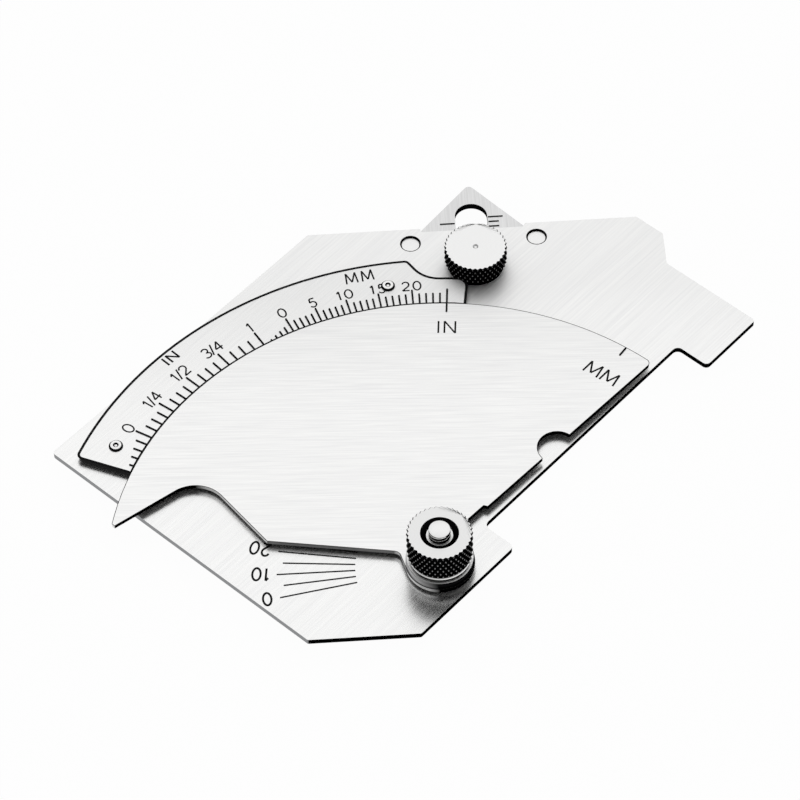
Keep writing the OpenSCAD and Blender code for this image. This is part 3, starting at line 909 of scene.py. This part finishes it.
def top_border(name, node):
    """A new object with only the border edges of a part's top face."""
    path = bpy.data.objects.new(name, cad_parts[node].data.copy())
    bpy.context.scene.collection.objects.link(path)
    pick(path)
    bpy.ops.object.mode_set(mode="EDIT")
    bpy.ops.mesh.select_mode(type="FACE")
    bpy.ops.mesh.select_all(action="SELECT")
    bpy.ops.mesh.remove_doubles(threshold=1e-6)
    bpy.ops.mesh.select_all(action="DESELECT")
    bpy.ops.object.mode_set(mode="OBJECT")
    top = top_of(node)
    for face in path.data.polygons:
        face.select = face.normal.z > 0.99 and abs(face.center.z - top) < 1e-5
    bpy.ops.object.mode_set(mode="EDIT")
    bpy.ops.mesh.region_to_loop()
    bpy.ops.mesh.select_all(action="INVERT")
    bpy.ops.mesh.delete(type="EDGE")
    bpy.ops.object.mode_set(mode="OBJECT")
    return path


print("borders are taken from top faces")

# %% Edge lines
LONG_SIDE, SIDE_CUTS = 2 * MM, 24
HOLE_REACH, SEAM_REACH = 2.8 * MM, 0.02 * MM
CAST_HEIGHT, CAST_LENGTH = 1.0 * MM, 1.1 * MM
EDGE_FLAT = 0.4


def edge_line(name, node, width, body, covered):
    """A line round the top face of a part. Holes near the covered spots get none."""
    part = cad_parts[node]
    path = top_border(name, node)
    choose_edges(path, lambda a, b: (a - b).length > LONG_SIDE)
    bpy.ops.object.mode_set(mode="EDIT")
    bpy.ops.mesh.subdivide(number_cuts=SIDE_CUTS)
    bpy.ops.object.mode_set(mode="OBJECT")

    def unwanted(a, b):
        if any((a - hole).to_2d().length < HOLE_REACH for hole in covered):
            return True
        down = Vector((0, 0, -1))
        aside = (b - a).cross(down).normalized() * SEAM_REACH
        over = (a + b) / 2 - down * CAST_HEIGHT
        return all(part.ray_cast(over + way, down, distance=CAST_LENGTH)[0] for way in (aside, -aside))

    choose_edges(path, unwanted)
    bpy.ops.object.mode_set(mode="EDIT")
    bpy.ops.mesh.delete(type="EDGE")
    bpy.ops.mesh.select_mode(type="VERT")
    bpy.ops.object.mode_set(mode="OBJECT")
    return one_piece(name, [inked(path, width * MM, EDGE_FLAT)], body, black_marks_and_shade)


rivets = [middle("arc_rivet_left"), middle("arc_rivet_right")]
edge_line("arc_edge_line", "arc_scale_plate", 0.42, "frame", rivets)
# The cam's finer line is painted shade along its edge.
edge_line("cam_edge_shade_line", "cam", 0.10, "cam", [PIVOT])

# %% [markdown]
# ## Thread on the stud
#
# The stud's end stands out of the nut and shows its thread. Only the crests are drawn:
# a helix of round section on the plain stud, which ends a little under the stud's end.

# %% Thread
CREST_R, PITCH, CREST = 1.55, 0.7, 0.2
# depth of the thread's two ends below the stud's own end
THREAD_LOW, THREAD_HIGH = 1.62, 0.42
STEPS_PER_TURN = 40

bottom = top_of("pivot_stud") - THREAD_LOW * MM
rise = (THREAD_LOW - THREAD_HIGH) * MM
turns = rise / (PITCH * MM)
steps = int(turns * STEPS_PER_TURN)
helix = []
for i in range(steps + 1):
    helix.append(ray(CREST_R, 360 * turns * i / steps, bottom + rise * i / steps))
one_piece("stud_thread", [pen(helix, CREST * MM, 1)], "frame", polished)

# %% [markdown]
# ## Lip of the pivot nut
#
# The turner left a small round bead on the plain collar under the knurl. It is the one
# part of the nut's side that looks up, so it shows as a bright ring under the black
# knurl. A torus would do, but a small upright circle that is spun once round the axis is
# nearer to how a lathe makes it.

# %% Lip
LIP_RISE, LIP_RING, LIP_SECTION = 0.56, 4.5, 0.26
LIP_STEPS, SECTION_STEPS = 96, 16

axis = spot(0, 0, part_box("pivot_nut")[0].z + LIP_RISE * MM)
bpy.ops.object.select_all(action="DESELECT")
bpy.ops.mesh.primitive_circle_add(vertices=SECTION_STEPS, radius=LIP_SECTION * MM)
lip = bpy.context.object
lip.rotation_euler.x = math.radians(90)
lip.location = axis + Vector((LIP_RING * MM, 0, 0))
bpy.ops.object.transform_apply(location=True, rotation=True, scale=True)
bpy.ops.object.mode_set(mode="EDIT")
bpy.ops.mesh.select_all(action="SELECT")
bpy.ops.mesh.spin(steps=LIP_STEPS, angle=math.tau, center=axis, axis=(0, 0, 1))
bpy.ops.mesh.select_all(action="SELECT")
bpy.ops.mesh.remove_doubles(threshold=1e-7)
bpy.ops.mesh.normals_make_consistent(inside=False)
bpy.ops.object.mode_set(mode="OBJECT")
bpy.ops.object.shade_smooth()
one_piece("pivot_nut_lip", [lip], "pivot_nut", polished)

# %% [markdown]
# ## Gaps round the guide pins
#
# Each guide pin sits in a drilled hole with a hair of play. A thin dark ring on the plate
# round each pin is painted shade in that gap.

# %% Pin gaps
PIN_R, PIN_GAP, RING_STEPS = 1.6, 0.14, 48

turns = [math.tau * i / RING_STEPS for i in range(RING_STEPS + 1)]
circle = [(PIN_R * MM * math.cos(t), PIN_R * MM * math.sin(t)) for t in turns]
ring = pen(circle, PIN_GAP * MM)
gaps = []
for pin in ("guide_pin_upper", "guide_pin_lower"):
    gap = copy_of(ring)
    place = middle(pin)
    gap.location = (place.x, place.y, PLATE_FACE)
    gaps.append(gap)
bpy.data.objects.remove(ring)
one_piece("pin_gap_shade", gaps, "frame", black_marks_and_shade)

# %% [markdown]
# ## Sizes
#
# The drawing's box, cad_box, is taken when the frame is loaded, and sets the floor's height.

# %% End
print("scene built")
